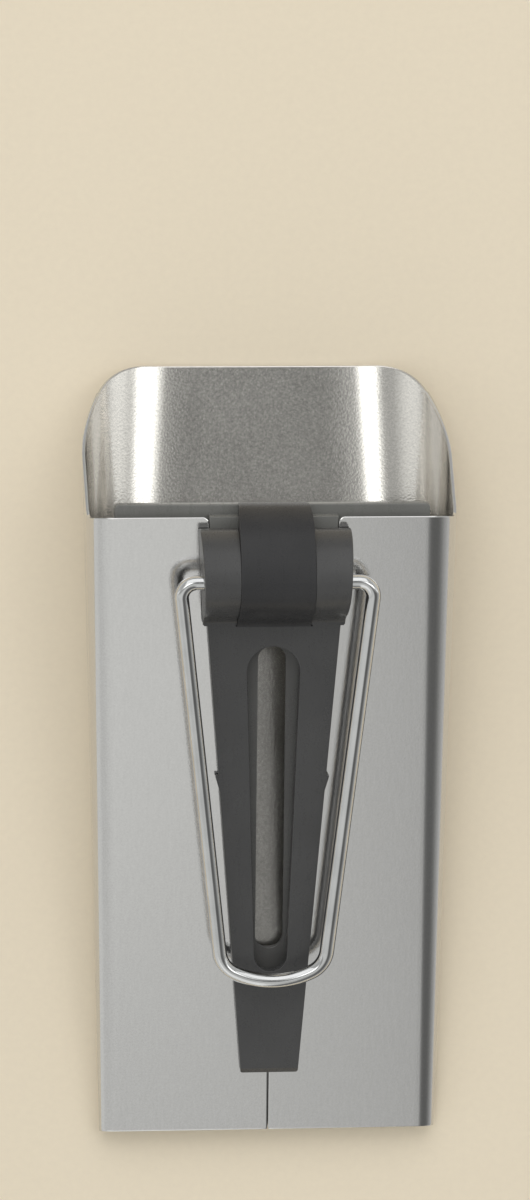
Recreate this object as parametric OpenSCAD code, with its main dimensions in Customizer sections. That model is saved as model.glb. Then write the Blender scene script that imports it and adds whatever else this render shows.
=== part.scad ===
// Bias tape maker for tape 50 mm wide: a folded sheet-metal shell with a
// plastic guide tongue on its flaps, a plastic folding plate under them and
// a hinged wire handle. Millimetres, +Z up, +Y towards the wide entry end.
// The origin is on the resting plane, under the middle of the shell.

/* [Body shell] */
// Length of the shell from the exit to the lip of the scoop
body_len = 117; // [114:1:120]
// Outer width at the narrow exit
exit_w = 51.5; // [51:0.1:52.5]
// Outer width at the front edge of the flaps
entry_w = 55.7; // [55:0.1:57]
// Outer height at the narrow exit
exit_h = 3.3; // [3.2:0.1:3.8]
// Outer height at the front edge of the flaps
entry_h = 22.5; // [22:0.1:23]
// Thickness of the sheet
sheet_t = 0.5; // [0.4:0.05:0.6]
// Length of the open scoop in front of the flaps
scoop_len = 23.8; // [22:0.2:26]
// Outer radius of the lower side bend at the entry
entry_bend_r = 12; // [11:0.5:13]
// Radius of the scoop's two front corners, in the flat sheet
scoop_corner_r = 12; // [10:0.5:13]
// Fall of the scoop's rim per length of sheet
rim_fall = 0.8; // [0.77:0.01:0.82]
// Rise of the flaps' crown at the entry
crown_rise = 0.5; // [0.2:0.1:0.6]

/* [Guide tongue] */
// Thickness of the tongue
tongue_t = 1.8; // [1.4:0.1:1.9]
// Width of the tongue behind the hinge block
tongue_w = 19.7; // [19.4:0.1:20.4]
// Width of the tongue at its narrow end
tongue_end_w = 8.7; // [8.4:0.1:9.4]
// Width of the tapered slot at its wide end
slot_w = 7.9; // [7.4:0.1:8.2]
// Width of the tapered slot at its narrow end
slot_end_w = 4.9; // [4.6:0.1:5.4]
// Width of the hinge block at its front
block_w = 22.6; // [22:0.1:22.8]
// How far the side barbs stand out
barb = 0.5; // [0.4:0.1:0.8]

/* [Folding plate] */
// Width of the folding plate at its front edge
plate_w = 47.4; // [44:0.2:48]
// Width of the folding plate at its rear edge
plate_end_w = 45; // [42:0.2:45.4]
// Thickness of the folding plate
plate_t = 1.7; // [1.2:0.1:1.8]
// Width of the central strap
strap_w = 11.1; // [10.8:0.1:12]
// Width of the pin slot under the tongue's slot
pin_w = 4.3; // [4.2:0.1:4.5]

/* [Wire handle] */
// Diameter of the wire
wire_d = 2.2; // [2:0.1:2.3]
// Half distance between the legs' centre lines at the hinge
leg_x = 14.5; // [14.4:0.1:14.8]
// Half distance between the legs' centre lines at the far end
leg_end_x = 7.6; // [7.4:0.1:8.2]
// Length of the handle from the hinge axis to the far wire's centre
handle_len = 61.5; // [61:0.1:62.4]
// Radial clearance of the wire in the hinge bore
bore_clear = 0.05; // [0.03:0.01:0.08]

/* [Hidden] */
$fn = 48;

function mix(a, b, t) = a + (b - a) * t;

// Stations along the shell
y_exit = -body_len / 2;
y_lip = body_len / 2;
y_flap = y_lip - scoop_len;

// Shell sections: every measure runs straight from the exit to the entry
exit_bend_r = 1.5;
top_bend_exit = 1.5;
top_bend_exit_x = 2.6;
top_bend_entry = 4;
slit_w = 0.45;
function tq(y) = (y - y_exit) / (y_flap - y_exit);
function half_w(y) = mix(exit_w, entry_w, tq(y)) / 2;
function flap_z(y) = mix(exit_h, entry_h, tq(y));
function bend_lo(y) = y <= y_flap
    ? mix(exit_bend_r, entry_bend_r, tq(y))
    : entry_bend_r + 2 * (y - y_flap) / scoop_len;
function bend_hi(y) = mix(top_bend_exit, top_bend_entry, tq(y));
function bend_hi_x(y) = mix(top_bend_exit_x, top_bend_entry, tq(y));
function crown(y) = crown_rise * tq(y);

// The slope that the tongue lies on, just clear of the flaps
lift = 0.1;
slope = atan((entry_h + crown_rise - exit_h) / (y_flap - y_exit));
function seat_z(y) = exit_h + lift + (y - y_exit) * tan(slope);
function sy(y) = (y - y_exit) / cos(slope);
module on_slope() translate([0, y_exit, exit_h + lift]) rotate([slope, 0, 0]) children();

// Tongue outline along the shell
y_tip = -49.2;
y_root = 17.7;
y_block = 19;
y_barb0 = -5.9;
y_barb1 = -3.6;
slot_y0 = -33.4;
slot_y1 = 15.9;
taper = (tongue_w - tongue_end_w) / 2 / (y_root - y_tip);
function tongue_x(y) = tongue_w / 2 - taper * (y_root - y);

// Half gap between the flaps: a V under the tongue that closes to a slit
y_v = -45.3;
y_slit = -47.7;
function gap_x(y) = y >= y_v ? tongue_x(y) - 1.3
    : y <= y_slit ? slit_w / 2
    : mix(slit_w / 2, tongue_x(y_v) - 1.3, pow(sin(90 * (y - y_slit) / (y_v - y_slit)), 0.8));

// A point of the half section at length s along the outer face from the
// base's middle; o is the depth below the outer face
function len_flat(y) = half_w(y) - bend_lo(y);
function len_bend(y) = len_flat(y) + bend_lo(y) * PI / 2;
function len_wall(y) = len_bend(y) + flap_z(y) - bend_hi(y) - bend_lo(y);
function sec(y, s, o) =
    let (w = half_w(y), rb = bend_lo(y), rt = bend_hi(y), rx = bend_hi_x(y), h = flap_z(y),
         a1 = (s - len_flat(y)) / rb * 180 / PI, a3 = (s - len_wall(y)) / rt * 180 / PI)
    s <= len_flat(y) ? [s, o]
    : s <= len_bend(y) ? [w - rb + (rb - o) * sin(a1), rb - (rb - o) * cos(a1)]
    : s <= len_wall(y) ? [w - o, rb + s - len_bend(y)]
    : [w - rx + (rx - o) * cos(a3), h - rt + (rt - o) * sin(a3)];

// Rim of the scoop in the flat sheet: a small fillet at the flap's front
// edge, a straight fall and a round front corner
psi = atan(rim_fall);
rim_r = 2;
rim_s = len_wall(y_flap) + 1.37;
rim_t = rim_r / tan(45 + psi / 2);
split_a = (rim_s + rim_t - len_wall(y_flap)) / bend_hi(y_flap) * 180 / PI;
lip_t = scoop_corner_r * tan((90 - psi) / 2);
lip_s = rim_s - rim_fall * scoop_len - lip_t;
n_fillet = 3;
n_fall = 5;
n_lip = 8;
fall_y0 = y_flap + rim_t * cos(psi);
fall_y1 = y_lip - lip_t * cos(psi);
scoop_st = concat(
    [for (i = [1:n_fillet]) let (a = 180 + (90 - psi) * i / n_fillet)
        [y_flap + rim_r + rim_r * cos(a), rim_s + rim_t + rim_r * sin(a)]],
    [for (i = [1:n_fall]) let (y = mix(fall_y0, fall_y1, i / n_fall)) [y, rim_s - rim_fall * (y - y_flap)]],
    [for (i = [1:n_lip]) let (a = (90 - psi) * (1 - i / n_lip))
        [y_lip - scoop_corner_r + scoop_corner_r * cos(a), lip_s + scoop_corner_r * sin(a)]]
);

// Segments round the lower bend, up to the rim's root in the upper bend,
// round the rest of the upper bend and across a flap
nb = 8;
nr = 2;
nt = 4;
nf = 3;
function s_under(y) = concat(
    [0],
    [for (i = [0:nb]) len_flat(y) + bend_lo(y) * PI / 2 * i / nb],
    [for (i = [0:nr]) len_wall(y) + bend_hi(y) * split_a * PI / 180 * i / nr]
);

// Half section under the flaps, from the base's middle to the flap's edge
function half_flap(y, o) =
    let (w = half_w(y), h = flap_z(y), rt = bend_hi(y), rx = bend_hi_x(y), c = crown(y), g = gap_x(y), xt = w - rx)
    concat(
        [for (s = s_under(y)) sec(y, s, o)],
        [for (i = [1:nt]) let (a = mix(split_a, 90, i / nt)) [xt + (rx - o) * cos(a), h - rt + (rt - o) * sin(a)]],
        [for (i = [1:nf]) let (x = mix(xt, g, i / nf)) [x, h - o + c * pow(1 - pow(x / xt, 2), 2)]]
    );

// Half section of the scoop, from the base's middle to the rim at length r
s_root = s_under(y_flap);
function half_scoop(y, r, o) = [for (s = s_root) sec(y, s * r / s_root[len(s_root) - 1], o)];

// A whole section: the half section and its mirror image
function whole(y, h) = let (n = len(h) - 1)
    [for (j = [-n:n]) j < 0 ? [-h[-j][0], y, h[-j][1]] : [h[j][0], y, h[j][1]]];

ys_flap = concat(
    [y_exit],
    [for (i = [0:4]) mix(y_slit, y_v, i / 4)],
    [for (i = [1:6]) mix(y_v, y_flap, i / 6)]
);

kr = len(s_root) - 1;
kf = kr + nt + nf;
mf = 2 * kf + 1;
ms = 2 * kr + 1;
nfl = len(ys_flap);
nsc = len(scoop_st);
last = nfl + nsc - 1;
function vid(i, j, s) = i < nfl ? (2 * i + s) * mf + j
    : 2 * nfl * mf + (2 * (i - nfl) + s) * ms + j - (kf - kr);
shell_points = concat(
    [for (y = ys_flap) for (s = [0, 1]) for (p = whole(y, half_flap(y, s * sheet_t))) p],
    [for (q = scoop_st) for (s = [0, 1]) for (p = whole(q[0], half_scoop(q[0], q[1], s * sheet_t))) p]
);
function j_lo(i) = i < nfl - 1 ? 0 : kf - kr;
function j_hi(i) = i < nfl - 1 ? 2 * kf - 1 : kf + kr - 1;
function strip(p, q) = [
    [vid(q[0], q[1], 0), vid(p[0], p[1], 0), vid(p[0], p[1], 1)],
    [vid(q[0], q[1], 0), vid(p[0], p[1], 1), vid(q[0], q[1], 1)]
];
shell_edges = concat(
    [for (j = [0:2 * kf - 1]) [[0, j], [0, j + 1]]],
    [for (i = [0:nfl - 2]) [[i, 2 * kf], [i + 1, 2 * kf]]],
    [for (i = [0:nfl - 2]) [[i + 1, 0], [i, 0]]],
    [for (j = [0:kf - kr - 1]) [[nfl - 1, j + 1], [nfl - 1, j]]],
    [for (j = [kf + kr:2 * kf - 1]) [[nfl - 1, j + 1], [nfl - 1, j]]],
    [for (i = [nfl - 1:last - 1]) [[i, kf + kr], [i + 1, kf + kr]]],
    [for (i = [nfl - 1:last - 1]) [[i + 1, kf - kr], [i, kf - kr]]],
    [for (j = [kf - kr:kf + kr - 1]) [[last, j + 1], [last, j]]]
);
shell_faces = concat(
    [for (i = [0:last - 1]) for (j = [j_lo(i):j_hi(i)]) each [
        [vid(i, j, 0), vid(i, j + 1, 0), vid(i + 1, j + 1, 0)],
        [vid(i, j, 0), vid(i + 1, j + 1, 0), vid(i + 1, j, 0)],
        [vid(i, j, 1), vid(i + 1, j + 1, 1), vid(i, j + 1, 1)],
        [vid(i, j, 1), vid(i + 1, j, 1), vid(i + 1, j + 1, 1)]
    ]],
    [for (e = shell_edges) each strip(e[0], e[1])]
);

module body_shell() color([0.72, 0.71, 0.70]) polyhedron(points = shell_points, faces = shell_faces, convexity = 8);

// Hinge axis
axis_y = 25.1;
axis_z = seat_z(axis_y) + 7;
wire_r = wire_d / 2;
bore_r = wire_r + bore_clear;
roll_r = 2.35;
seam = 0.06;

module bore() translate([-block_w, axis_y, axis_z]) rotate([0, 90, 0]) cylinder(r = bore_r, h = 2 * block_w);

// Side view of a knuckle, as Y and Z: from its back foot at yb, up to the
// roll round the bore, over the roll and down a full front to (yf, zf); lo is
// the height of its base above the seat
function knuckle(yb, yf, zf, lo, back) =
    let (zb = seat_z(yb) + back, dy = yb - axis_y, dz = zb - axis_z,
         d = sqrt(dy * dy + dz * dz), a0 = (dz < 0 ? 360 : 0) + atan2(dz, dy) - acos(roll_r / d))
    concat(
        back > lo ? [[yb, seat_z(yb) + lo]] : [],
        [[yb, zb]],
        [for (i = [0:6]) let (a = mix(a0, 90, i / 6)) [axis_y + roll_r * cos(a), axis_z + roll_r * sin(a)]],
        [for (i = [1:12]) let (a = 90 - 90 * i / 12) [axis_y + (yf - axis_y) * cos(a), zf + (axis_z + roll_r - zf) * sin(a)]],
        zf > seat_z(yf) + lo + 0.01 ? [[yf, seat_z(yf) + lo]] : []
    );
module slab(x0, x1) translate([x0, 0, 0]) rotate([90, 0, 90]) linear_extrude(height = x1 - x0) children();

// A slot with round ends of half widths a and b, from y0 to y1 along the shell
function slot_outline(y0, y1, a, b) = concat(
    [for (i = [0:16]) let (t = 180 + 180 * i / 16) [a * cos(t), sy(y0) + a + a * sin(t)]],
    [for (i = [0:16]) let (t = 180 * i / 16) [b * cos(t), sy(y1) - b + b * sin(t)]]
);
pin_y0 = -30.8;
pin_y1 = 15.4;

y_lobe = 33.2;
notch_x = strap_w / 2 + seam;
inset = 0.15;
block_back_w = 21.3;
function block_x(y) = mix(block_back_w, block_w, (y - y_block) / (y_lobe - y_block)) / 2;
block_plan = [
    [notch_x, y_block - 1], [block_x(y_block - 1), y_block - 1],
    [block_x(y_lobe + 1), y_lobe + 1], [notch_x, y_lobe + 1]
];
tongue_side = [
    [tongue_x(y_tip), sy(y_tip)],
    [tongue_x(y_barb0), sy(y_barb0)],
    [tongue_x(y_barb1) + barb, sy(y_barb1)],
    [tongue_x(y_barb1), sy(y_barb1)],
    [tongue_x(y_block), sy(y_block)],
    [block_x(y_block) - inset, sy(y_block)],
    [block_x(y_lobe) - inset, sy(y_lobe - 0.4)],
    [notch_x + inset, sy(y_lobe - 0.4)],
    [notch_x + inset, sy(y_block - 0.1)]
];
lobe_side = knuckle(y_block + 0.4, y_lobe, seat_z(y_lobe) + tongue_t / 2, tongue_t / 2, tongue_t / 2);
tongue_outline = concat(
    tongue_side,
    [for (i = [len(tongue_side) - 1:-1:0]) [-tongue_side[i][0], tongue_side[i][1]]]
);

module lobe() intersection() {
    slab(0, block_w) polygon(lobe_side);
    linear_extrude(height = 60) polygon(block_plan);
}

module guide_tongue() color([0.18, 0.18, 0.18]) difference() {
    union() {
        on_slope() linear_extrude(height = tongue_t) polygon(tongue_outline);
        lobe();
        mirror([1, 0, 0]) lobe();
    }
    on_slope() translate([0, 0, -1]) linear_extrude(height = tongue_t + 2)
        polygon(slot_outline(slot_y0, slot_y1, slot_end_w / 2, slot_w / 2));
    bore();
}

// Folding plate: it hangs under the flaps, parallel to the tongue
plate_top = 2.6;
y_plate0 = -46.3;
y_plate1 = 36.3;
y_strap = 37.1;
plate_outline = [
    [plate_end_w / 2 - 1, sy(y_plate0)], [plate_end_w / 2, sy(y_plate0) + 1],
    [plate_w / 2, sy(y_plate1) - 0.6], [plate_w / 2 - 0.6, sy(y_plate1)],
    [-plate_w / 2 + 0.6, sy(y_plate1)], [-plate_w / 2, sy(y_plate1) - 0.6],
    [-plate_end_w / 2, sy(y_plate0) + 1], [-plate_end_w / 2 + 1, sy(y_plate0)]
];
web_w = 5.2;
y_web0 = -44.8;
y_web1 = -34.5;

module folding_plate() color([0.22, 0.22, 0.21]) difference() {
    union() {
        on_slope() translate([0, 0, -plate_top - plate_t]) linear_extrude(height = plate_t) polygon(plate_outline);
        on_slope() translate([-web_w / 2, sy(y_web0), -plate_top - plate_t / 2])
            cube([web_w, sy(y_web1) - sy(y_web0), plate_top + plate_t / 2]);
        slab(-strap_w / 2, strap_w / 2)
            polygon(knuckle(y_block + seam, y_strap, seat_z(y_strap) - 3, -plate_top - plate_t / 2, tongue_t / cos(slope)));
    }
    on_slope() translate([0, 0, -plate_top - plate_t - 1]) linear_extrude(height = plate_t + 2)
        polygon(slot_outline(pin_y0, pin_y1, pin_w / 2, pin_w / 2));
    bore();
}

// Wire handle, drawn flat: x across, y away from the hinge axis
lean = atan((leg_x - leg_end_x) / handle_len);
fold = 12.75;
bend_r1 = 2.2;
bend_r2 = 4;
bow_r = 13.2;
end_gap = 0.6;
bar_x = leg_x - bend_r1 * cos(lean) - bend_r1 * (1 + sin(lean)) * tan(lean);
leg_top = [bar_x + bend_r1 * cos(lean), bend_r1 + bend_r1 * sin(lean)];
bow_y = handle_len - bow_r;
// The corner bend touches the leg and, from inside, the bowed end
off_x = leg_x - bend_r2 / cos(lean);
qa = 1 + pow(tan(lean), 2);
qb = -2 * (off_x * tan(lean) + bow_y);
qc = off_x * off_x + bow_y * bow_y - pow(bow_r - bend_r2, 2);
corner_y = (-qb + sqrt(qb * qb - 4 * qa * qc)) / (2 * qa);
corner_c = [off_x - corner_y * tan(lean), corner_y];
leg_low = [corner_c[0] + bend_r2 * cos(lean), corner_c[1] + bend_r2 * sin(lean)];
bow_a = atan2(corner_c[1] - bow_y, corner_c[0]);
leg_len = norm(leg_low - leg_top);

module wire_arc(c, r, a0, a1) translate([c[0], c[1], 0]) rotate([0, 0, a0])
    rotate_extrude(angle = a1 - a0) translate([r, 0]) circle(r = wire_r);
// Where a straight run meets a bend, a hair-thin swell joins the two
swell_r = wire_r + 0.015;
module swell(p, a) translate([p[0], p[1], 0]) rotate([0, 0, a]) rotate([-90, 0, 0])
    translate([0, 0, -0.1]) cylinder(r = swell_r, h = 0.2);
module half_wire() {
    translate([end_gap, 0, 0]) rotate([0, 90, 0]) cylinder(r = wire_r, h = bar_x - end_gap);
    swell([bar_x, 0], -90);
    wire_arc([bar_x, bend_r1], bend_r1, -90, lean);
    swell(leg_top, lean);
    translate([leg_top[0], leg_top[1], 0]) rotate([0, 0, lean]) rotate([-90, 0, 0]) cylinder(r = wire_r, h = leg_len);
    swell(leg_low, lean);
    wire_arc(corner_c, bend_r2, lean, bow_a);
    swell(corner_c + bend_r2 * [cos(bow_a), sin(bow_a)], bow_a);
}
module wire_handle() color([0.85, 0.85, 0.86])
    translate([0, axis_y, axis_z]) rotate([180 + fold, 0, 0]) union() {
        half_wire();
        rotate([0, 180, 0]) half_wire();
        wire_arc([0, bow_y], bow_r, bow_a, 180 - bow_a);
    }

body_shell();
guide_tongue();
folding_plate();
wire_handle();
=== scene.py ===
import math

import bmesh
import bpy
from mathutils import Matrix, Vector, geometry


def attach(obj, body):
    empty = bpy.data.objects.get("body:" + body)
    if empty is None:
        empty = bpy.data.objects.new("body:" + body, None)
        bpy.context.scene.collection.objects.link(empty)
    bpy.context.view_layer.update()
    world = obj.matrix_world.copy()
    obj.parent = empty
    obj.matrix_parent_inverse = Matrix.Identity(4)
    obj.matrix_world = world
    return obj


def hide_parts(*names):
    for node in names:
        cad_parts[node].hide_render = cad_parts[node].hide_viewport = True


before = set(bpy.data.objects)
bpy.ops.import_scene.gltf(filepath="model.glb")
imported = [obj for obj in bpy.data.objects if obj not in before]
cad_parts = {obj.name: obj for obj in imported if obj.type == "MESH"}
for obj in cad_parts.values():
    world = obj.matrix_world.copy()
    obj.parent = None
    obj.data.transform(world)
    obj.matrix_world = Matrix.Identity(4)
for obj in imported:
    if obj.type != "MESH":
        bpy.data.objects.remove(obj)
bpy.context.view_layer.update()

# Lengths below are in millimetres, in the CAD frame, and become metres where a
# mesh is made.
MM = 0.001


def mix(a, b, t):
    return a + (b - a) * t


# ---------------------------------------------------------------- dimensions
Y_EXIT, Y_LIP, Y_FLAP = -58.5, 58.5, 34.7
SCOOP = Y_LIP - Y_FLAP
SHEET = 0.5
SLOPE = math.atan(19.7 / (Y_FLAP - Y_EXIT))
Y_TIP, Y_ROOT, Y_BLOCK = -49.2, 17.7, 19.0
TONGUE_W, TONGUE_END_W, TONGUE_T = 19.7, 8.7, 1.8
SLOT_A, SLOT_B, SLOT_Y0, SLOT_Y1 = 2.45, 3.95, -33.4, 15.9
PIN_A, PIN_Y0, PIN_Y1 = 2.15, -30.8, 15.4
BARB, Y_BARB0, Y_BARB1 = 0.5, -5.9, -3.6
STRAP_W = 11.1
SEAM = 0.02
NOTCH_X = STRAP_W / 2 + SEAM
Y_LOBE, Y_STRAP = 33.2, 37.1
PLATE_TOP, PLATE_T = 2.6, 1.7
Y_PLATE0, Y_PLATE1 = -46.3, 36.3
Y_WEB0, Y_WEB1 = -44.8, -34.5
AXIS_Y = 25.1
WIRE_R, BORE_R, ROLL_R = 1.1, 1.15, 2.35


def tq(y):
    return (y - Y_EXIT) / (Y_FLAP - Y_EXIT)


def half_w(y):
    return mix(51.5, 55.7, tq(y)) / 2


def flap_z(y):
    return mix(3.3, 22.5, tq(y))


def bend_lo(y):
    return mix(1.5, 12.0, tq(y)) if y <= Y_FLAP else 12.0 + 2.0 * (y - Y_FLAP) / SCOOP


def bend_hi(y):
    return mix(1.5, 4.0, tq(y))


def bend_hi_x(y):
    return mix(2.6, 4.9, tq(y))


def seat_z(y):
    return 3.4 + (y - Y_EXIT) * math.tan(SLOPE)


def sy(y):
    return (y - Y_EXIT) / math.cos(SLOPE)


AXIS_Z = seat_z(AXIS_Y) + 7.0


def tongue_x(y):
    return TONGUE_W / 2 - (TONGUE_W - TONGUE_END_W) / 2 / (Y_ROOT - Y_TIP) * (Y_ROOT - y)


def block_x(y):
    return mix(21.3, 22.6, (y - Y_BLOCK) / (Y_LOBE - Y_BLOCK)) / 2


def on_slope(x, v, w):
    """A point given across, along and above the slope that the tongue lies on."""
    c, s = math.cos(SLOPE), math.sin(SLOPE)
    return Vector((x, Y_EXIT + v * c - w * s, 3.4 + v * s + w * c))


# ---------------------------------------------------------------- mesh helpers
def make_object(name, verts, faces, angle=40.0):
    mesh = bpy.data.meshes.new(name)
    mesh.from_pydata([(Vector(v) * MM)[:] for v in verts], [], faces)
    mesh.validate()
    bm = bmesh.new()
    bm.from_mesh(mesh)
    bmesh.ops.remove_doubles(bm, verts=bm.verts, dist=1e-7)
    bmesh.ops.recalc_face_normals(bm, faces=bm.faces)
    bm.to_mesh(mesh)
    bm.free()
    finish_mesh(mesh, angle)
    obj = bpy.data.objects.new(name, mesh)
    bpy.context.scene.collection.objects.link(obj)
    return obj


def finish_mesh(mesh, angle):
    for p in mesh.polygons:
        p.use_smooth = True
    mesh.set_sharp_from_angle(angle=math.radians(angle))


def weighted(obj):
    mod = obj.modifiers.new("even_normals", "WEIGHTED_NORMAL")
    mod.keep_sharp = True
    mod.weight = 80
    return obj


def combine(target, others, operation, angle=40.0):
    """target with the others joined to it or cut from it, as one closed mesh."""
    for o in others:
        mod = target.modifiers.new("op", "BOOLEAN")
        mod.operation = operation
        mod.solver = "EXACT"
        mod.object = o
    graph = bpy.context.evaluated_depsgraph_get()
    mesh = bpy.data.meshes.new_from_object(target.evaluated_get(graph))
    target.modifiers.clear()
    old = target.data
    target.data = mesh
    mesh.name = target.name
    bpy.data.meshes.remove(old)
    for o in others:
        m = o.data
        bpy.data.objects.remove(o)
        bpy.data.meshes.remove(m)
    bm = bmesh.new()
    bm.from_mesh(mesh)
    bmesh.ops.remove_doubles(bm, verts=bm.verts, dist=2e-7)
    bmesh.ops.dissolve_degenerate(bm, edges=bm.edges, dist=2e-7)
    bm.to_mesh(mesh)
    bm.free()
    finish_mesh(mesh, angle)
    return target


def offset_loop(loop, d):
    """A loop moved by d to its left, corner by corner."""
    n = len(loop)
    out = []
    for i in range(n):
        p, q, r = loop[i - 1], loop[i], loop[(i + 1) % n]
        a = (q[0] - p[0], q[1] - p[1])
        b = (r[0] - q[0], r[1] - q[1])
        la, lb = math.hypot(*a), math.hypot(*b)
        na = (-a[1] / la, a[0] / la)
        nb = (-b[1] / lb, b[0] / lb)
        k = max(1 + na[0] * nb[0] + na[1] * nb[1], 0.25)
        out.append((q[0] + d * (na[0] + nb[0]) / k, q[1] + d * (na[1] + nb[1]) / k))
    return out


def area(loop):
    return sum(
        loop[i - 1][0] * loop[i][1] - loop[i][0] * loop[i - 1][1] for i in range(len(loop))
    ) / 2


def prism(name, loops, start, end, edge, seg=3, angle=40.0):
    """A solid with rounded rims. loops holds the outline first and then its holes; start
    and end turn a loop's point and its depth under that cap into a point in space. edge
    is the rounding of both rims, or of the first and the last."""
    edges = edge if isinstance(edge, tuple) else (edge, edge)
    loops = [
        list(l) if (area(l) > 0) == (i == 0) else list(reversed(l)) for i, l in enumerate(loops)
    ]
    verts, faces = [], []
    caps = {"start": [], "end": []}
    for loop in loops:
        rings = []
        levels = [math.pi / 2 * i / seg for i in range(seg + 1)]
        plan = [("start", a) for a in reversed(levels)] + [("end", a) for a in levels]
        for side, a in plan:
            place, e = (start, edges[0]) if side == "start" else (end, edges[1])
            pts = offset_loop(loop, e * (1 - math.cos(a)))
            ids = []
            for p in pts:
                verts.append(place(p[0], p[1], e * (1 - math.sin(a))))
                ids.append(len(verts) - 1)
            rings.append((ids, pts))
        n = len(loop)
        for (ra, _), (rb, _) in zip(rings, rings[1:]):
            for i in range(n):
                j = (i + 1) % n
                faces.append((ra[i], ra[j], rb[j], rb[i]))
        caps["start"].append(rings[0])
        caps["end"].append(rings[-1])
    for side in ("start", "end"):
        ids = [v for ring, _ in caps[side] for v in ring]
        polys = [[Vector((p[0], p[1], 0)) for p in pts] for _, pts in caps[side]]
        for tri in geometry.tessellate_polygon(polys):
            faces.append(tuple(ids[t] for t in tri))
    return make_object(name, verts, faces, angle)


def rounded(points, radii, seg=5):
    """An outline with its corners rounded off."""
    n = len(points)
    out = []
    for i in range(n):
        p, q, r = (Vector(points[k % n]) for k in (i - 1, i, i + 1))
        rad = radii[i]
        if rad <= 0:
            out.append((q.x, q.y))
            continue
        u, v = (p - q).normalized(), (r - q).normalized()
        half = math.acos(max(-1, min(1, u.dot(v)))) / 2
        t = rad / math.tan(half)
        a, b = q + u * t, q + v * t
        c = q + (u + v).normalized() * (rad / math.sin(half))
        va, vb = a - c, b - c
        turn = va.angle_signed(vb)
        for k in range(seg + 1):
            w = va.copy()
            w.rotate(Matrix.Rotation(-turn * k / seg, 2))
            out.append((c.x + w.x, c.y + w.y))
    return out


def circle(cx, cy, r, n=48):
    return [
        (cx + r * math.cos(2 * math.pi * i / n), cy + r * math.sin(2 * math.pi * i / n))
        for i in range(n)
    ]


# ---------------------------------------------------------------- body shell
RIM_FALL = 0.8
PSI = math.atan(RIM_FALL)
LIP_R, RIM_R = 12.0, 2.0
EDGE = 0.19  # how far a sheared edge is rounded


def len_flat(y):
    return half_w(y) - bend_lo(y)


def len_bend(y):
    return len_flat(y) + bend_lo(y) * math.pi / 2


def len_wall(y):
    return len_bend(y) + flap_z(y) - bend_hi(y) - bend_lo(y)


def lift(y, s):
    """How far the scoop's floor rises as it runs gently into the lower bend."""
    run, fall = 6.0, 0.05
    k = max(0.0, min(1.0, (y - 14.0) / (Y_FLAP - 14.0)))
    k = k * k * (3 - 2 * k)
    l0, l1 = len_flat(y), len_bend(y)
    if k == 0 or s <= l0 - run or s >= l1:
        return 0.0
    if s <= l0:
        return k * fall / (2 * run) * (s - l0 + run) ** 2
    t = (s - l0) / (l1 - l0)
    return k * ((2 * t**3 - 3 * t**2 + 1) * fall * run / 2 + (t**3 - 2 * t**2 + t) * fall * (l1 - l0))


def sec(y, s, o):
    w, rb, rt, rx, h = half_w(y), bend_lo(y), bend_hi(y), bend_hi_x(y), flap_z(y)
    if s <= len_flat(y):
        return s, o + lift(y, s)
    if s <= len_bend(y):
        a = (s - len_flat(y)) / rb
        return w - rb + (rb - o) * math.sin(a), rb - (rb - o) * math.cos(a) + lift(y, s)
    if s <= len_wall(y):
        return w - o, rb + s - len_bend(y)
    a = (s - len_wall(y)) / rt
    return w - rx + (rx - o) * math.cos(a), h - rt + (rt - o) * math.sin(a)


RIM_S = len_wall(Y_FLAP) + 1.37
RIM_T = RIM_R / math.tan(math.pi / 4 + PSI / 2)
SPLIT_A = (RIM_S + RIM_T - len_wall(Y_FLAP)) / bend_hi(Y_FLAP)
LIP_T = LIP_R * math.tan((math.pi / 2 - PSI) / 2)
LIP_S = RIM_S - RIM_FALL * SCOOP - LIP_T
Y_V, Y_SLIT, SLIT_W = -45.3, -47.7, 0.45
CORNER_R = 0.65

N_FLAT, N_BEND, N_WALL, N_ROOT, N_TOP, N_FLAP = 20, 28, 6, 6, 12, 30


def s_under(y):
    lf, lb, lw = len_flat(y), len_bend(y), len_wall(y)
    s = [lf * i / N_FLAT for i in range(N_FLAT)]
    s += [mix(lf, lb, i / N_BEND) for i in range(N_BEND)]
    s += [mix(lb, lw, i / N_WALL) for i in range(N_WALL)]
    s += [lw + bend_hi(y) * SPLIT_A * i / N_ROOT for i in range(N_ROOT + 1)]
    return s


def gap_x(y):
    if y >= Y_V:
        g = tongue_x(y) - 1.3
        if y > Y_FLAP - CORNER_R:
            d = min(1.0, (y - (Y_FLAP - CORNER_R)) / CORNER_R)
            g += CORNER_R * (1 - math.sqrt(max(0.0, 1 - d * d)))
        return g
    if y <= Y_SLIT:
        return SLIT_W / 2
    t = math.sin(math.pi / 2 * (y - Y_SLIT) / (Y_V - Y_SLIT)) ** 0.8
    return mix(SLIT_W / 2, tongue_x(Y_V) - 1.3, t)


def flap_row(y, o):
    w, h, rt, rx, g = half_w(y), flap_z(y), bend_hi(y), bend_hi_x(y), gap_x(y)
    crown = mix(0.2, 0.3, tq(y))
    tip = 2 * crown / (w - rx)  # the flap leaves the bend at this slope
    row = [sec(y, s, o) for s in s_under(y)]
    for i in range(1, N_TOP + 1):
        a = mix(SPLIT_A, math.pi / 2 - tip * rx / rt, i / N_TOP)
        row.append((w - rx + (rx - o) * math.cos(a), h - rt + (rt - o) * math.sin(a)))
    xt, zt = row[-1]
    for i in range(1, N_FLAP + 1):
        x = mix(xt, g + 0.05, i / (N_FLAP - 1)) if i < N_FLAP else g
        row.append((x, zt + crown * (1 - (x / xt) ** 2)))
    return row


S_ROOT = s_under(Y_FLAP)
KR = len(S_ROOT) - 1
KF = KR + N_TOP + N_FLAP


def scoop_row(y, r, o):
    return [sec(y, s * r / S_ROOT[-1], o) for s in S_ROOT]


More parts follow.
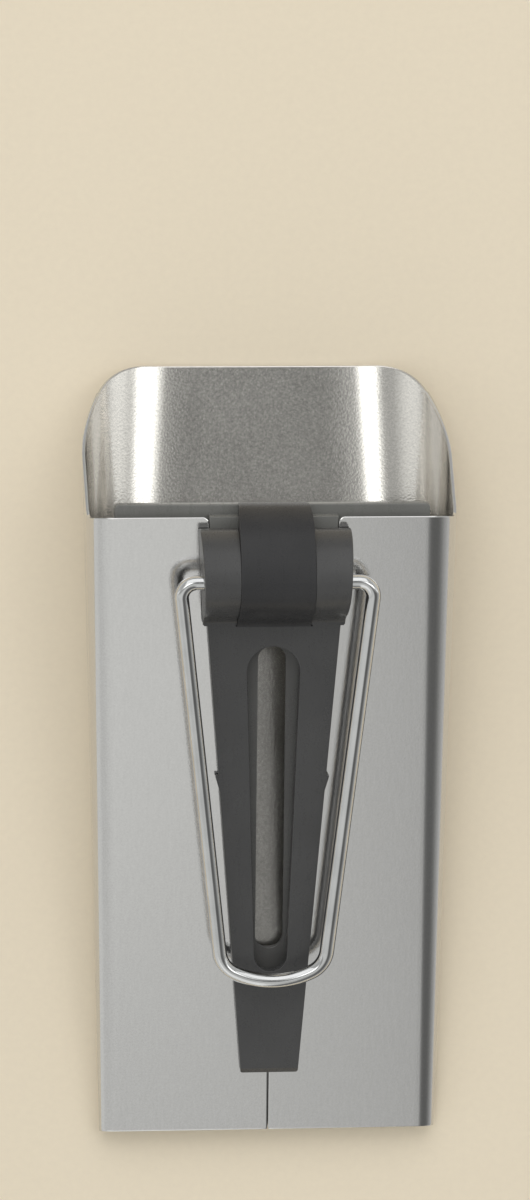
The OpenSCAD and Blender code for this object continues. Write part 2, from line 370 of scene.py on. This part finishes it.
def body_mesh():
    ys = [Y_EXIT + EDGE] + [mix(Y_EXIT + EDGE + 0.05, Y_SLIT, i / 10) for i in range(10)]
    ys += [mix(Y_SLIT, Y_V, i / 10) for i in range(10)]
    ys += [mix(Y_V, Y_FLAP - CORNER_R, i / 60) for i in range(60)]
    ys += [Y_FLAP - CORNER_R + CORNER_R * math.sin(math.pi / 2 * i / 7) for i in range(8)]
    n_flap = len(ys)
    scoop = []
    for i in range(1, 9):
        a = math.pi + (math.pi / 2 - PSI) * i / 8
        scoop.append((Y_FLAP + RIM_R + RIM_R * math.cos(a), RIM_S + RIM_T + RIM_R * math.sin(a)))
    y0, y1 = Y_FLAP + RIM_T * math.cos(PSI), Y_LIP - LIP_T * math.cos(PSI)
    for i in range(1, 25):
        y = mix(y0, y1, i / 24)
        scoop.append((y, RIM_S - RIM_FALL * (y - Y_FLAP)))
    for i in range(1, 27):
        a = (math.pi / 2 - PSI) * (1 - i / 26)
        r = LIP_R - EDGE
        scoop.append((Y_LIP - LIP_R + r * math.cos(a), LIP_S + r * math.sin(a)))
    last = n_flap + len(scoop) - 1

    verts, index = [], {}
    for side, o in enumerate((0.0, SHEET)):
        for i in range(last + 1):
            if i < n_flap:
                y, row = ys[i], flap_row(ys[i], o)
            else:
                y, r = scoop[i - n_flap]
                row = scoop_row(y, r, o)
            for k, (x, z) in enumerate(row):
                for j in ((k, -k) if k else (0,)):
                    index[(i, j, side)] = len(verts)
                    verts.append(Vector((x if j >= 0 else -x, y, z)))

    faces = []
    for i in range(last):
        top = KF if i < n_flap - 1 else KR
        for j in range(-top, top):
            a, b, c, d = (i, j), (i, j + 1), (i + 1, j + 1), (i + 1, j)
            faces.append(tuple(index[p + (0,)] for p in (a, b, c, d)))
            faces.append(tuple(index[p + (1,)] for p in (d, c, b, a)))

    # The free edge, once round, with a neighbour further in for each point
    front = n_flap - 1
    loop = []
    for j in range(-KF, KF + 1):
        inner = max(-KF + 1, min(KF - 1, j))
        loop.append(((0, j), (1, inner)))
    loop += [((i, KF), (i, KF - 1)) for i in range(1, front)]
    loop.append(((front, KF), (front - 1, KF)))
    loop += [((front, j), (front - 1, j)) for j in range(KF - 1, KR - 1, -1)]
    loop += [((i, KR), (i, KR - 1)) for i in range(front + 1, last)]
    loop += [((last, j), (last - 1, j)) for j in range(KR, -KR - 1, -1)]
    loop += [((i, -KR), (i, -KR + 1)) for i in range(last - 1, front, -1)]
    loop += [((front, j), (front - 1, j)) for j in range(-KR, -KF, -1)]
    loop.append(((front, -KF), (front - 1, -KF)))
    loop += [((i, -KF), (i, -KF + 1)) for i in range(front - 1, 0, -1)]
    steps = 4
    rims = []
    m = len(loop)
    for n, (p, q) in enumerate(loop):
        outer, inner = verts[index[p + (0,)]], verts[index[p + (1,)]]
        before = verts[index[loop[n - 1][0] + (0,)]]
        after = verts[index[loop[(n + 1) % m][0] + (0,)]]
        run = (after - before).normalized()
        up = (outer - inner).normalized()
        out = outer - verts[index[q + (0,)]]
        out -= run * out.dot(run)
        out -= up * out.dot(up)
        out.normalize()
        mid, half = (outer + inner) / 2, (outer - inner) / 2
        ids = [index[p + (0,)]]
        for k in range(1, steps):
            a = math.pi * k / steps
            c, s = math.cos(a), math.sin(a)
            c = math.copysign(abs(c) ** 0.75, c) if abs(c) > 1e-9 else 0.0
            verts.append(mid + half * c + out * (EDGE * s**0.75))
            ids.append(len(verts) - 1)
        ids.append(index[p + (1,)])
        rims.append(ids)
    for n in range(m):
        a, b = rims[n], rims[(n + 1) % m]
        for k in range(steps):
            faces.append((b[k], a[k], a[k + 1], b[k + 1]))
    return make_object("shell", verts, faces, 55.0)


def inner_faces(obj):
    """The inside of the folded sheet takes the second material."""
    for p in obj.data.polygons:
        c, n = p.center / MM, p.normal
        across = c.x * n.x + (c.z - flap_z(min(c.y, Y_FLAP)) / 2) * n.z
        p.material_index = 1 if across < 0 and abs(n.y) < 0.5 else 0


# ---------------------------------------------------------------- guide tongue
def slot_loop(y0, y1, a, b, n=18):
    """A slot with round ends of half widths a and b."""
    pts = []
    for i in range(n + 1):
        t = math.pi + math.pi * i / n
        pts.append((a * math.cos(t), sy(y0) + a + a * math.sin(t)))
    for i in range(n + 1):
        t = math.pi * i / n
        pts.append((b * math.cos(t), sy(y1) - b + b * math.sin(t)))
    return pts


def knuckle(yb, yf, zf, lo, back, front_lo):
    """Side view of a knuckle, from its back foot over the full hump to its front."""
    top = AXIS_Z + ROLL_R
    long = AXIS_Y - yb - 1.0
    base = seat_z(yb + 1.0) + back
    a1 = math.radians(76)
    p = Vector((AXIS_Y - long * math.sin(a1), base + (top - base) * math.cos(a1)))
    run = Vector((-long * math.cos(a1), -(top - base) * math.sin(a1))).normalized()
    foot = Vector((yb, seat_z(yb) + back))
    reach = (p.y - foot.y - (p.x - foot.x) * 0.35) / (run.x * 0.35 - run.y)
    bend = p + run * reach
    pts = [(yb, seat_z(yb) + lo)] if back > lo else []
    for i in range(9):
        t = i / 9
        q = foot * (1 - t) ** 2 + bend * (2 * t * (1 - t)) + p * t**2
        pts.append((q.x, q.y))
    for i in range(25):
        a = a1 * (1 - i / 24)
        pts.append((AXIS_Y - long * math.sin(a), base + (top - base) * math.cos(a)))
    for i in range(1, 25):
        a = math.pi / 2 * (1 - i / 24)
        pts.append((AXIS_Y + (yf - AXIS_Y) * math.cos(a), zf + (top - zf) * math.sin(a)))
    if zf > seat_z(yf) + front_lo + 0.01:
        pts.append((yf, seat_z(yf) + front_lo))
    return pts


def tongue_mesh():
    inset = 0.15
    side = [
        ((tongue_x(Y_TIP), sy(Y_TIP)), 0.35),
        ((tongue_x(Y_BARB0), sy(Y_BARB0)), 0.0),
        ((tongue_x(Y_BARB1) + BARB, sy(Y_BARB1)), 0.12),
        ((tongue_x(Y_BARB1), sy(Y_BARB1)), 0.0),
        ((tongue_x(Y_BLOCK), sy(Y_BLOCK)), 0.0),
        ((block_x(Y_BLOCK) - inset, sy(Y_BLOCK)), 0.12),
        ((block_x(Y_LOBE) - inset, sy(Y_LOBE - 0.4)), 0.3),
        ((NOTCH_X + inset, sy(Y_LOBE - 0.4)), 0.0),
        ((NOTCH_X + inset, sy(Y_BLOCK)), 0.0),
    ]
    pts = [p for p, _ in side] + [(-p[0], p[1]) for p, _ in reversed(side)]
    radii = [r for _, r in side] + [r for _, r in reversed(side)]
    outline = rounded(pts, radii)
    plate = prism(
        "guide",
        [outline, slot_loop(SLOT_Y0, SLOT_Y1, SLOT_A, SLOT_B)],
        lambda u, v, d: on_slope(u, v, d),
        lambda u, v, d: on_slope(u, v, TONGUE_T - d),
        0.16,
    )
    # The end of the tongue is chamfered on top
    v0, x0 = sy(Y_TIP), tongue_x(Y_TIP) + 2
    side = [(v0 - 1.0, TONGUE_T - 1.35), (v0 + 0.9, TONGUE_T + 0.05), (v0 - 1.0, TONGUE_T + 0.05)]
    wedge = make_object(
        "wedge",
        [on_slope(x, v, w) for x in (-x0, x0) for v, w in side],
        [(0, 1, 2), (5, 4, 3), (0, 3, 4, 1), (1, 4, 5, 2), (2, 5, 3, 0)],
    )
    combine(plate, [wedge], "DIFFERENCE")
    profile = knuckle(
        Y_BLOCK - 0.2, Y_LOBE, seat_z(Y_LOBE) + TONGUE_T / 2, TONGUE_T / 2, TONGUE_T / math.cos(SLOPE) - 0.08, 0.05
    )
    hole = circle(AXIS_Y, AXIS_Z, BORE_R, 32)
    lobes = []
    for s in (1, -1):
        lobes.append(
            prism(
                "lobe",
                [profile, hole],
                lambda u, v, d, s=s: Vector((s * (NOTCH_X + d), u, v)),
                lambda u, v, d, s=s: Vector((s * (block_x(u) - d), u, v)),
                (0.05, 0.18),
            )
        )
    return weighted(combine(plate, lobes, "UNION", 33.0))


# ---------------------------------------------------------------- folding plate
def strap_x(y, z):
    """Half the strap's width, which falls off as the strap comes down in front."""
    return STRAP_W / 2 - (0.06 * max(0.0, 27.0 - z) if y > AXIS_Y else 0.0)


def undercut(u, v):
    """The pin slot opens a little towards its underside, so that its walls lean back."""
    if abs(u) > PIN_A + 0.2:
        return u, v
    if v < sy(PIN_Y0) + PIN_A:
        v -= 0.35
    elif v > sy(PIN_Y1) - PIN_A:
        v += 0.35
    return u * 1.16, v


def plate_mesh():
    y0, y1 = Y_PLATE0, Y_PLATE1
    outline = rounded(
        [(22.5, sy(y0)), (23.7, sy(y1)), (-23.7, sy(y1)), (-22.5, sy(y0))], [1.2, 0.7, 0.7, 1.2]
    )
    plate = prism(
        "folder",
        [outline, slot_loop(PIN_Y0, PIN_Y1, PIN_A, PIN_A)],
        lambda u, v, d: on_slope(*undercut(u, v), -PLATE_TOP - PLATE_T + d),
        lambda u, v, d: on_slope(u, v, -PLATE_TOP - d),
        0.2,
    )
    web = prism(
        "web",
        [[(-2.6, sy(Y_WEB0)), (2.6, sy(Y_WEB0)), (2.6, sy(Y_WEB1)), (-2.6, sy(Y_WEB1))]],
        lambda u, v, d: on_slope(u, v, -PLATE_TOP - PLATE_T / 2 + d),
        lambda u, v, d: on_slope(u, v, -d),
        0.1,
    )
    lo = -PLATE_TOP - PLATE_T / 2
    profile = knuckle(Y_BLOCK - 0.6, Y_STRAP, seat_z(Y_STRAP) - 3.0, lo, TONGUE_T / math.cos(SLOPE) - 0.04, lo)
    strap = prism(
        "strap",
        [profile, circle(AXIS_Y, AXIS_Z, BORE_R, 32)],
        lambda u, v, d: Vector((-strap_x(u, v) + d, u, v)),
        lambda u, v, d: Vector((strap_x(u, v) - d, u, v)),
        0.06,
    )
    lands = [
        prism(
            "land",
            [[(s * x, sy(y)) for x, y in ((5.0, 31.5), (9.5, 31.5), (9.65, 34.85), (5.0, 34.85))]],
            lambda u, v, d: on_slope(u, v, -PLATE_TOP - 0.5 + d),
            lambda u, v, d: on_slope(u, v, -0.4 - d),
            0.12,
        )
        for s in (1, -1)
    ]
    pad = prism(
        "pad",
        [
            rounded([(5.2, sy(-38.5)), (5.2, sy(17.6)), (-5.2, sy(17.6)), (-5.2, sy(-38.5))], [1.5] * 4),
            slot_loop(PIN_Y0 + 0.05, PIN_Y1 - 0.05, PIN_A - 0.05, PIN_A - 0.05),
        ],
        lambda u, v, d: on_slope(*undercut(u, v), -PLATE_TOP - 0.6 + d),
        lambda u, v, d: on_slope(u, v, -PLATE_TOP + 1.2 - d),
        0.02,
    )
    return weighted(combine(plate, [web, strap, pad] + lands, "UNION"))


def plate_light_and_shade_faces(obj):
    """Sorts the faces into lit and shaded copies of one plastic: the strap takes the darkest, painted shade for its
    dim top; the pin slot and the pad round it take a middle one, painted light lifting the deep shade down the
    slot, yet darker than the plate; the rest of the plate takes the lightest, painted light for its lit band.
    """
    for p in obj.data.polygons:
        c = p.center / MM
        above = (c.z - seat_z(c.y)) * math.cos(SLOPE)
        strap = abs(c.x) <= STRAP_W / 2 + 0.01 and above > -PLATE_TOP + 0.01
        slot = abs(c.x) <= PIN_A + 0.4 and PIN_Y0 - 0.6 < c.y < PIN_Y1 + 1.2 and above > -PLATE_TOP - PLATE_T + 0.01
        p.material_index = 2 if strap and c.y > Y_BLOCK - 1 else 1 if strap or slot else 0


# ---------------------------------------------------------------- wire handle
LEG_X, LEG_END_X, HANDLE_LEN = 14.5, 7.6, 61.5
FOLD = math.radians(12.75)
BEND_R1, BEND_R2, BOW_R, END_GAP = 2.2, 4.0, 13.2, 0.6


def wire_path():
    """Centre line of the wire in its own plane: x across, y away from the hinge axis."""
    lean = math.atan((LEG_X - LEG_END_X) / HANDLE_LEN)
    tl = math.tan(lean)
    bar = LEG_X - BEND_R1 * math.cos(lean) - BEND_R1 * (1 + math.sin(lean)) * tl
    bow_y = HANDLE_LEN - BOW_R
    off = LEG_X - BEND_R2 / math.cos(lean)
    qa, qb = 1 + tl * tl, -2 * (off * tl + bow_y)
    qc = off * off + bow_y * bow_y - (BOW_R - BEND_R2) ** 2
    cy = (-qb + math.sqrt(qb * qb - 4 * qa * qc)) / (2 * qa)
    cx = off - cy * tl
    bow_a = math.atan2(cy - bow_y, cx)
    half = [(mix(END_GAP, bar, i / 6), 0.0) for i in range(6)]
    for i in range(19):
        a = mix(-math.pi / 2, lean, i / 18)
        half.append((bar + BEND_R1 * math.cos(a), BEND_R1 + BEND_R1 * math.sin(a)))
    top = half[-1]
    low = (cx + BEND_R2 * math.cos(lean), cy + BEND_R2 * math.sin(lean))
    half += [(mix(top[0], low[0], i / 40), mix(top[1], low[1], i / 40)) for i in range(1, 40)]
    for i in range(15):
        a = mix(lean, bow_a, i / 14)
        half.append((cx + BEND_R2 * math.cos(a), cy + BEND_R2 * math.sin(a)))
    bow = []
    for i in range(1, 24):
        a = mix(bow_a, math.pi - bow_a, i / 24)
        bow.append((BOW_R * math.cos(a), bow_y + BOW_R * math.sin(a)))
    return half + bow + [(-x, y) for x, y in reversed(half)]


def wire_mesh(sides=32):
    path = wire_path()
    c, s = math.cos(FOLD), math.sin(FOLD)
    pts = [Vector((x, AXIS_Y - y * c, AXIS_Z - y * s)) for x, y in path]
    normal = Vector((0, -s, c))
    verts, faces = [], []
    rings = []

    def ring(p, run, r, shift=0.0):
        side = normal.cross(run).normalized()
        ids = []
        for k in range(sides):
            a = 2 * math.pi * k / sides
            verts.append(p + run * shift + (side * math.cos(a) + normal * math.sin(a)) * r)
            ids.append(len(verts) - 1)
        rings.append(ids)

    n = len(pts)
    for i, p in enumerate(pts):
        a, b = pts[max(0, i - 1)], pts[min(n - 1, i + 1)]
        run = (b - a).normalized()
        if i == 0:
            ring(p, run, WIRE_R - 0.25)
            ring(p, run, WIRE_R, 0.25)
        elif i == n - 1:
            ring(p, run, WIRE_R, -0.25)
            ring(p, run, WIRE_R - 0.25)
        else:
            ring(p, run, WIRE_R)
    for ra, rb in zip(rings, rings[1:]):
        for k in range(sides):
            j = (k + 1) % sides
            faces.append((ra[k], ra[j], rb[j], rb[k]))
    faces.append(tuple(reversed(rings[0])))
    faces.append(tuple(rings[-1]))
    return make_object("loop", verts, faces, 40.0)


# ---------------------------------------------------------------- materials
class Tree:
    """Short calls for building a material's nodes."""

    def __init__(self, name):
        self.mat = bpy.data.materials.new(name)
        self.mat.use_nodes = True
        self.nodes = self.mat.node_tree.nodes
        self.links = self.mat.node_tree.links
        self.bsdf = self.nodes["Principled BSDF"]
        self.coord = self.nodes.new("ShaderNodeTexCoord").outputs["Object"]

    def scaled(self, sx, sy_, sz):
        m = self.nodes.new("ShaderNodeMapping")
        m.inputs["Scale"].default_value = (sx, sy_, sz)
        self.links.new(self.coord, m.inputs["Vector"])
        return m.outputs["Vector"]

    def noise(self, vector, scale=1.0, detail=2.0, rough=0.5, distortion=0.0):
        n = self.nodes.new("ShaderNodeTexNoise")
        n.inputs["Scale"].default_value = scale
        n.inputs["Detail"].default_value = detail
        n.inputs["Roughness"].default_value = rough
        n.inputs["Distortion"].default_value = distortion
        self.links.new(vector, n.inputs["Vector"])
        return n.outputs["Fac"]

    def ramp(self, value, stops):
        r = self.nodes.new("ShaderNodeValToRGB")
        e = r.color_ramp.elements
        while len(e) > 1:
            e.remove(e[-1])
        e[0].position, e[0].color = stops[0][0], tuple(stops[0][1]) + (1,)
        for pos, col in stops[1:]:
            x = e.new(pos)
            x.color = tuple(col) + (1,)
        self.links.new(value, r.inputs["Fac"])
        return r.outputs["Color"]

    def remap(self, value, a, b, c, d):
        m = self.nodes.new("ShaderNodeMapRange")
        for key, v in (("From Min", a), ("From Max", b), ("To Min", c), ("To Max", d)):
            m.inputs[key].default_value = v
        self.links.new(value, m.inputs["Value"])
        return m.outputs["Result"]

    def math(self, op, a, b):
        m = self.nodes.new("ShaderNodeMath")
        m.operation = op
        for socket, v in zip(m.inputs, (a, b)):
            if isinstance(v, (int, float)):
                socket.default_value = v
            else:
                self.links.new(v, socket)
        return m.outputs["Value"]

    def bump(self, height, distance, strength=1.0, normal=None):
        b = self.nodes.new("ShaderNodeBump")
        b.inputs["Strength"].default_value = strength
        b.inputs["Distance"].default_value = distance
        self.links.new(height, b.inputs["Height"])
        if normal is not None:
            self.links.new(normal, b.inputs["Normal"])
        return b.outputs["Normal"]

    def put(self, socket, value):
        if isinstance(value, (int, float, tuple)):
            self.bsdf.inputs[socket].default_value = value
        else:
            self.links.new(value, self.bsdf.inputs[socket])


def plated_steel():
    t = Tree("plated_steel")
    grain = t.noise(t.scaled(1, 1, 1), 3600, 3.0, 0.65)
    streak = t.noise(t.scaled(2600, 60, 2600), 1.0, 2.0, 0.5)
    cloud = t.noise(t.scaled(1, 1, 1), 55, 3.0, 0.55)
    tone = t.math("ADD", t.math("MULTIPLY", grain, 0.7), t.math("MULTIPLY", streak, 0.3))
    t.put("Base Color", t.ramp(tone, [(0.30, (0.625, 0.62, 0.615)), (0.70, (0.695, 0.69, 0.685))]))
    t.put("Metallic", 1.0)
    mottle = t.math("ADD", t.math("MULTIPLY", grain, 0.5), t.math("MULTIPLY", cloud, 0.5))
    t.put("Roughness", t.remap(mottle, 0.3, 0.7, 0.07, 0.13))
    fine = t.bump(grain, 0.0000045)
    t.put("Normal", t.bump(streak, 0.0000006, 1.0, fine))
    return t.mat


def satin_steel():
    """The inner side of the sheet, duller than the outside and with a fine speckled grain."""
    t = Tree("satin_steel")
    speck = t.noise(t.scaled(1, 1, 1), 2900, 2.0, 0.6)
    cloud = t.noise(t.scaled(1, 1, 1), 70, 3.0, 0.55)
    t.put("Base Color", t.ramp(speck, [(0.30, (0.60, 0.584, 0.556)), (0.70, (0.735, 0.714, 0.68))]))
    t.put("Metallic", 1.0)
    mottle = t.math("ADD", t.math("MULTIPLY", speck, 0.5), t.math("MULTIPLY", cloud, 0.5))
    t.put("Roughness", t.remap(mottle, 0.3, 0.7, 0.12, 0.18))
    t.put("Normal", t.bump(speck, 0.000011))
    return t.mat


def black_plastic(name, dark, light, scale, specular=0.32):
    t = Tree(name)
    grain = t.noise(t.scaled(1, 1, 1), scale, 3.0, 0.6)
    flow = t.noise(t.scaled(900, 120, 900), 1.0, 3.0, 0.55)
    cloud = t.noise(t.scaled(1, 1, 1), 140, 3.0, 0.5)
    tone = t.math("ADD", t.math("MULTIPLY", cloud, 0.6), t.math("MULTIPLY", grain, 0.4))
    t.put("Base Color", t.ramp(tone, [(0.32, dark), (0.68, light)]))
    t.put("Roughness", t.remap(t.math("ADD", grain, flow), 0.7, 1.3, 0.24, 0.34))
    t.put("Specular IOR Level", specular)
    fine = t.bump(grain, 0.000006)
    t.put("Normal", t.bump(flow, 0.000004, 1.0, fine))
    return t.mat


def chrome_wire():
    t = Tree("chrome_wire")
    drawn = t.noise(t.scaled(3000, 200, 3000), 1.0, 3.0, 0.6)
    cloud = t.noise(t.scaled(1, 1, 1), 220, 2.0, 0.5)
    t.put("Base Color", t.ramp(cloud, [(0.3, (0.58, 0.585, 0.59)), (0.7, (0.66, 0.665, 0.67))]))
    t.put("Metallic", 1.0)
    t.put("Roughness", t.remap(t.math("ADD", drawn, cloud), 0.7, 1.3, 0.08, 0.15))
    t.put("Normal", t.bump(drawn, 0.0000008))
    return t.mat


def floor_paper():
    t = Tree("floor_paper")
    fibre = t.noise(t.scaled(1, 1, 1), 900, 4.0, 0.6)
    t.put("Base Color", t.ramp(fibre, [(0.3, (0.91, 0.80, 0.63)), (0.7, (0.935, 0.825, 0.65))]))
    t.put("Roughness", t.remap(fibre, 0.3, 0.7, 0.75, 0.9))
    t.put("Normal", t.bump(fibre, 0.00002))
    return t.mat


# ---------------------------------------------------------------- pieces
steel = plated_steel()
satin = satin_steel()
guide_mat = black_plastic("black_plastic", (0.063, 0.063, 0.064), (0.076, 0.076, 0.077), 5200)
# Darker copy of the black plastic for the strap: painted shade standing in for its dim top
shaded_strap_mat = black_plastic("strap_plastic_painted_shade", (0.040, 0.040, 0.042), (0.050, 0.050, 0.052), 5200, 0.15)
# Copy for the pad and the pin slot, lighter than the tongue's plastic yet darker than the plate: painted light
# lifting the deep shade down the slot
pad_mat_painted_light = black_plastic("pad_plastic_painted_light", (0.100, 0.099, 0.097), (0.122, 0.121, 0.118), 5200)
# Much lighter copy of the black plastic for the rest of the plate: painted light for its lit front band
plate_mat_painted_light = black_plastic("dark_plastic", (0.185, 0.185, 0.176), (0.215, 0.215, 0.205), 5200)
chrome = chrome_wire()

for obj, mat, body, node, slot in (
    (body_mesh(), steel, "body", "body_shell", "plated_steel"),
    (tongue_mesh(), guide_mat, "body", "guide_tongue", "black_plastic"),
    (plate_mesh(), plate_mat_painted_light, "body", "folding_plate", "dark_plastic"),
    (wire_mesh(), chrome, "handle", "wire_handle", "chrome_wire"),
):
    obj.data.materials.clear()
    obj.data.materials.append(mat)
    if node == "body_shell":
        obj.data.materials.append(satin)
        inner_faces(obj)
    if node == "folding_plate":
        obj.data.materials.append(pad_mat_painted_light)
        obj.data.materials.append(shaded_strap_mat)
        plate_light_and_shade_faces(obj)
    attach(obj, body)
    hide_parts(node)

# ---------------------------------------------------------------- floor
bm = bmesh.new()
bmesh.ops.create_grid(bm, x_segments=8, y_segments=8, size=3.0)
floor_data = bpy.data.meshes.new("floor")
bm.to_mesh(floor_data)
bm.free()
floor = bpy.data.objects.new("floor", floor_data)
floor.location = (0, 0, -0.0004)
bpy.context.scene.collection.objects.link(floor)
floor_data.materials.append(floor_paper())

# ---------------------------------------------------------------- light
scene = bpy.context.scene
scene.view_settings.view_transform = "Standard"
world = bpy.data.worlds.new("studio")
scene.world = world
world.use_nodes = True
wn, wl = world.node_tree.nodes, world.node_tree.links
sky = wn["Background"]


def w_math(op, a, b=0.0):
    m = wn.new("ShaderNodeMath")
    m.operation = op
    for socket, v in zip(m.inputs, (a, b)):
        if isinstance(v, (int, float)):
            socket.default_value = v
        else:
            wl.new(v, socket)
    return m.outputs["Value"]


def w_ramp(value, stops):
    """A tone that runs through the stops, each a lean in degrees and its tone."""
    r = wn.new("ShaderNodeValToRGB")
    e = r.color_ramp.elements
    while len(e) > 1:
        e.remove(e[-1])
    for i, (deg, tone_) in enumerate(stops):
        x = e[0] if i == 0 else e.new((deg + 90) / 180)
        x.position = (deg + 90) / 180
        x.color = (tone_ / 4, tone_ / 4, tone_ / 4, 1)
    wl.new(w_math("ADD", w_math("MULTIPLY", value, 1 / math.pi), 0.5), r.inputs["Fac"])
    return w_math("MULTIPLY", r.outputs["Color"], 4.0)


def w_blend(a, b, t):
    return w_math("ADD", w_math("MULTIPLY", a, w_math("SUBTRACT", 1.0, t)), w_math("MULTIPLY", b, t))


def w_range(value, a, b, c, d):
    m = wn.new("ShaderNodeMapRange")
    m.interpolation_type = "SMOOTHSTEP"
    for key, v in (("From Min", a), ("From Max", b), ("To Min", c), ("To Max", d)):
        m.inputs[key].default_value = v
    wl.new(value, m.inputs["Value"])
    return m.outputs["Result"]


way = wn.new("ShaderNodeSeparateXYZ")
wl.new(wn.new("ShaderNodeTexCoord").outputs["Generated"], way.inputs["Vector"])
wx, wy, wz = way.outputs
across = w_math("ARCTAN2", wx, w_math("MAXIMUM", wz, 0.001))  # lean to the right, in radians
ahead = w_math("ARCTAN2", wy, w_math("MAXIMUM", wz, 0.001))  # lean to the entry end
# A pale wall behind with a dark flag to its right, and over the object two wide soft
# panels with a grey gap between them
flag = [(11.5, 0.5), (13.5, 0.38), (17, 0.24), (22, 0.165), (30, 0.145), (42, 0.145), (50, 0.18), (58, 0.26),
        (66, 0.37), (76, 0.5), (86, 0.65)]
wall_top = w_ramp(across, [(-60, 0.76), (0, 0.785), (2.5, 0.78), (4, 0.735), (6, 0.64), (7.5, 0.61), (10, 0.575)] + flag)
wall_low = w_ramp(across, [(-60, 0.66), (0, 0.65), (4, 0.635), (6, 0.605), (7.5, 0.59), (10, 0.57)] + flag)
wall = w_blend(wall_low, wall_top, w_range(ahead, math.radians(-30.3), math.radians(-25), 0.0, 1.0))
panels = w_ramp(across, [(-80, 1.35), (-60, 1.1), (-45, 0.58), (-32, 0.55), (-26, 1.3), (-22, 2.9), (-8, 2.9),
                         (-5.5, 1.7), (-3, 1.15), (-1, 0.8), (1, 0.48), (3, 0.26), (4.5, 0.17), (6.2, 0.17), (7.5, 0.24), (9, 0.4), (11, 0.62),
                         (13, 0.86), (15, 1.12), (18, 1.5), (21, 2.2), (24, 2.9), (41, 2.9), (46, 1.4), (52, 0.95), (58, 1.2), (65, 1.4), (80, 1.5)])
beam = w_ramp(across, [(-80, 0.7), (-60, 0.6), (-45, 0.4), (-4, 0.4), (2, 0.2), (8, 0.2), (14, 0.4), (50, 0.4), (80, 0.7)])
front = w_ramp(across, [(-80, 0.7), (-50, 0.5), (50, 0.5), (80, 0.7)])
edge = w_range(ahead, math.radians(-16), math.radians(-11), 0.0, 1.0)
over = w_range(ahead, math.radians(-5), math.radians(1), 0.0, 1.0)
past = w_range(ahead, math.radians(8), math.radians(15), 0.0, 1.0)
rear = w_ramp(across, [(-80, 0.75), (-50, 0.75), (-32, 1.1), (4, 1.1), (12, 0.5), (18, 0.22), (30, 0.15), (50, 0.16), (66, 0.35), (86, 0.6)])
behind = w_blend(rear, wall, w_range(ahead, math.radians(-46), math.radians(-36), 0.0, 1.0))
tone = w_blend(behind, w_blend(beam, w_blend(panels, front, past), over), edge)
wl.new(tone, sky.inputs["Strength"])
sky.inputs["Color"].default_value = (0.995, 1.0, 0.975, 1)


def softbox(name, lean, ahead_deg, distance, width, length, power):
    """An area light over the object, leaning to the right and to the entry end by so much."""
    way_ = Vector((math.tan(math.radians(lean)), math.tan(math.radians(ahead_deg)), 1)).normalized()
    data = bpy.data.lights.new(name, "AREA")
    data.shape = "RECTANGLE"
    data.size, data.size_y = width, length
    data.energy = power
    obj = bpy.data.objects.new(name, data)
    target = Vector((0, 0.045, 0))
    back = way_
    right = Vector((0, 1, 0)).cross(back).normalized()
    up = back.cross(right)
    m = Matrix((right, up, back)).transposed().to_4x4()
    m.translation = target + way_ * distance
    obj.matrix_world = m
    scene.collection.objects.link(obj)
    return obj


softbox("softbox_front", 0, 40, 1.2, 1.5, 1.1, 4.2)

# ---------------------------------------------------------------- camera
TILT, ROLL = math.radians(4.98), math.radians(0.43)
back = Vector((-math.sin(TILT), 0, math.cos(TILT)))
right = Vector((math.cos(TILT), 0, math.sin(TILT)))
up = Vector((0, 1, 0))
right, up = right * math.cos(ROLL) - up * math.sin(ROLL), up * math.cos(ROLL) + right * math.sin(ROLL)
data = bpy.data.cameras.new("camera")
data.sensor_fit = "VERTICAL"
data.sensor_height = 24.0
data.lens = 91.0
data.clip_start = 0.01
cam = bpy.data.objects.new("camera", data)
m = Matrix((right, up, back)).transposed().to_4x4()
m.translation = Vector((0.00052, 0.02251, 0)) + back * 0.7
cam.matrix_world = m
scene.collection.objects.link(cam)
scene.camera = cam


bpy.context.view_layer.update()
